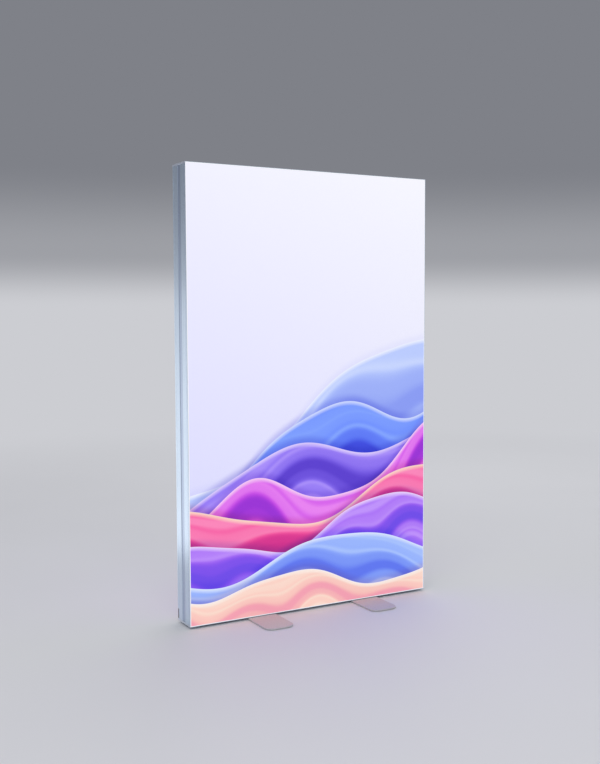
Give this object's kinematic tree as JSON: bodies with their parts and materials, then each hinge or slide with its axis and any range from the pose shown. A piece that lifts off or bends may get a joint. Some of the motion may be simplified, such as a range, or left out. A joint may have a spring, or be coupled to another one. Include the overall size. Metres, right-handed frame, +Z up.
{
  "type": "lightbox display wall",
  "caption": "Free-standing double-sided textile light box on flat feet, with aluminium profiles, edge lighting and removable lit graphics.",
  "frame": {"origin": "on the floor, under the middle of the box", "axes": "+X to the right across the front graphic, +Y from the front graphic to the rear one, +Z up"},
  "size_m": [1.2192, 0.53, 1.9911],
  "materials": {
    "aluminium": "extruded, satin anodised",
    "foot_steel": "silver powder coat",
    "zinc_steel": "zinc plated",
    "lit_textile": "dye-sublimation printed knit, lit from behind",
    "silicone": "white silicone strip",
    "lead_sheath": "white sheath",
    "black_plastic": "fine moulded texture",
    "red_plastic": "glossy",
    "clear_plastic": "clear moulded lens",
    "white_nylon": "turned",
    "white_enamel": "white powder coat",
    "pad_rubber": "matt"
  },
  "bodies": {
    "box": {"bottom_left_bracket": "zinc_steel", "bottom_left_end_cap": "aluminium", "bottom_rail": "aluminium", "bottom_right_bracket": "zinc_steel", "bottom_right_end_cap": "aluminium", "crossbar": "white_enamel", "driver_mount": "zinc_steel", "inlet_housing": "black_plastic", "inlet_socket": "black_plastic", "led_driver": "white_enamel", "left_crossbar_bracket": "zinc_steel", "left_foot_bolt": "zinc_steel", "left_foot_nut_plate": "zinc_steel", "left_foot_washer": "white_nylon", "left_led_lead": "lead_sheath", "left_link_lead": "lead_sheath", "left_lower_led_bar": "aluminium", "left_lower_lens_strip": "clear_plastic", "left_upper_led_bar": "aluminium", "left_upper_lens_strip": "clear_plastic", "left_upright": "aluminium", "mains_lead": "lead_sheath", "right_crossbar_bracket": "zinc_steel", "right_foot_bolt": "zinc_steel", "right_foot_nut_plate": "zinc_steel", "right_foot_washer": "white_nylon", "right_led_lead": "lead_sheath", "right_link_lead": "lead_sheath", "right_lower_led_bar": "aluminium", "right_lower_lens_strip": "clear_plastic", "right_upper_led_bar": "aluminium", "right_upper_lens_strip": "clear_plastic", "right_upright": "aluminium", "switch_body": "black_plastic", "top_left_bracket": "zinc_steel", "top_left_end_cap": "aluminium", "top_rail": "aluminium", "top_right_bracket": "zinc_steel", "top_right_end_cap": "aluminium"},
    "front_graphic": {"front_bottom_gasket": "silicone", "front_graphic": "lit_textile", "front_left_gasket": "silicone", "front_right_gasket": "silicone", "front_top_gasket": "silicone"},
    "left_foot": {"left_foot": "foot_steel", "left_foot_front_pad": "pad_rubber", "left_foot_rear_pad": "pad_rubber"},
    "rear_graphic": {"rear_bottom_gasket": "silicone", "rear_graphic": "lit_textile", "rear_left_gasket": "silicone", "rear_right_gasket": "silicone", "rear_top_gasket": "silicone"},
    "right_foot": {"right_foot": "foot_steel", "right_foot_front_pad": "pad_rubber", "right_foot_rear_pad": "pad_rubber"},
    "switch_rocker": {"switch_rocker": "red_plastic"}
  },
  "joints": [
    {"name": "left_foot_swivel", "type": "hinge", "parent": "box", "child": "left_foot", "pos_m": [-0.267, 0, 0], "axis": [0, 0, 1], "range_deg": [0, 90]},
    {"name": "right_foot_swivel", "type": "hinge", "parent": "box", "child": "right_foot", "pos_m": [0.267, 0, 0], "axis": [0, 0, 1], "range_deg": [0, 90]},
    {"name": "front_graphic_pull", "type": "slide", "parent": "box", "child": "front_graphic", "axis": [0, -1, 0], "range_m": [0, 0.12]},
    {"name": "rear_graphic_pull", "type": "slide", "parent": "box", "child": "rear_graphic", "axis": [0, 1, 0], "range_m": [0, 0.12]},
    {"name": "switch_tip", "type": "hinge", "parent": "box", "child": "switch_rocker", "pos_m": [-0.5546, 0.0498, 0.0397], "axis": [1, 0, 0], "range_deg": [0, 16]}
  ]
}
